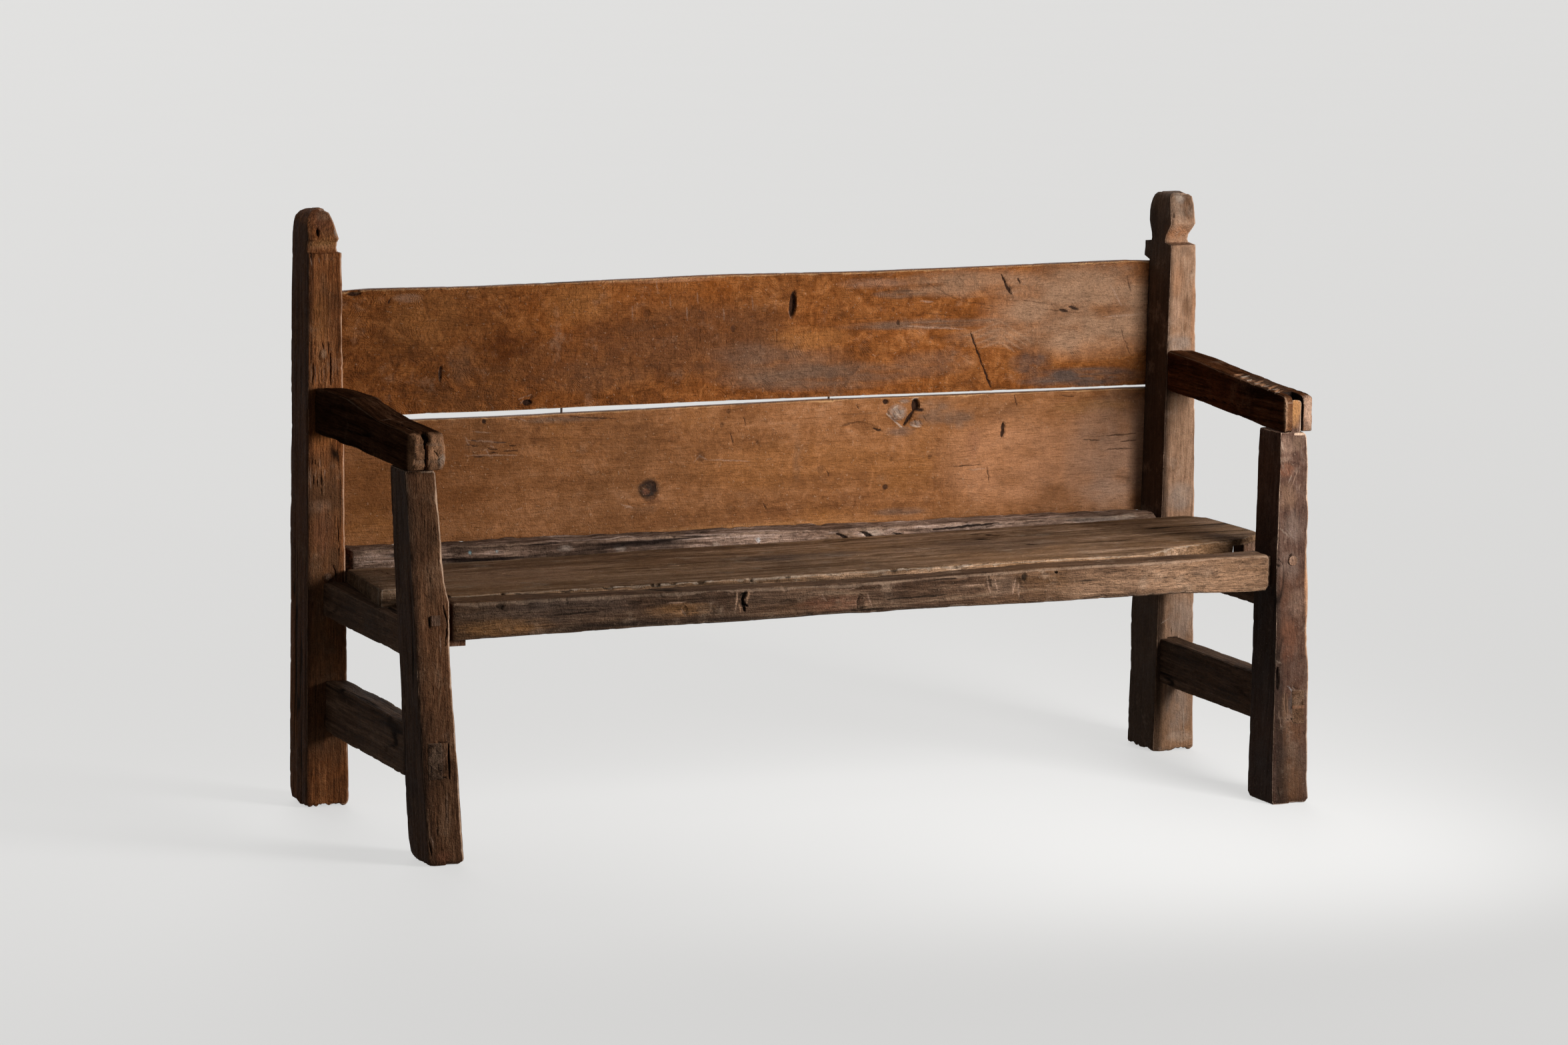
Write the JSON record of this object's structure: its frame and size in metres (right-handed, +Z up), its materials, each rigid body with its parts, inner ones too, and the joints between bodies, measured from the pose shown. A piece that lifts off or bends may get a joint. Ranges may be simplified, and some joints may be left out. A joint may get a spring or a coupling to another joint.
{
  "type": "bench",
  "caption": "Rustic hewn timber settle bench with back boards, a plank seat, low arms and posts with carved heads, joined with pegged mortises and tenons.",
  "frame": {"origin": "on the floor, under the middle of the bench's overall box", "axes": "+X to the sitter's left along the bench's length, -Y to the front, +Z up"},
  "size_m": [1.723, 0.63, 1.038],
  "materials": {
    "post_wood": "weathered, hewn",
    "leg_wood": "weathered, hewn",
    "arm_wood": "dark, hand worn",
    "frame_wood": "weathered, hewn",
    "front_rail_wood": "worn, with bare patches",
    "board_wood": "oiled, sawn",
    "seat_wood": "worn, greyed",
    "peg_wood": "weathered",
    "iron": "rusty"
  },
  "bodies": {
    "root": {"rear_post_left": "post_wood", "rear_post_right": "post_wood", "front_leg_left": "leg_wood", "front_leg_right": "leg_wood", "arm_left": "arm_wood", "arm_right": "arm_wood", "side_rail_left": "frame_wood", "side_rail_right": "frame_wood", "stretcher_left": "frame_wood", "stretcher_right": "frame_wood", "rear_rail": "frame_wood", "front_rail": "front_rail_wood", "back_board_upper": "board_wood", "back_board_lower": "board_wood", "seat_plank": "seat_wood", "front_rail_peg_left": "peg_wood", "front_rail_peg_right": "peg_wood", "stretcher_wedges": "peg_wood", "rail_packing_slip": "peg_wood", "seat_packing_block": "peg_wood", "seat_nails": "iron", "board_nails": "iron", "board_pins": "iron"}
  },
  "joints": []
}
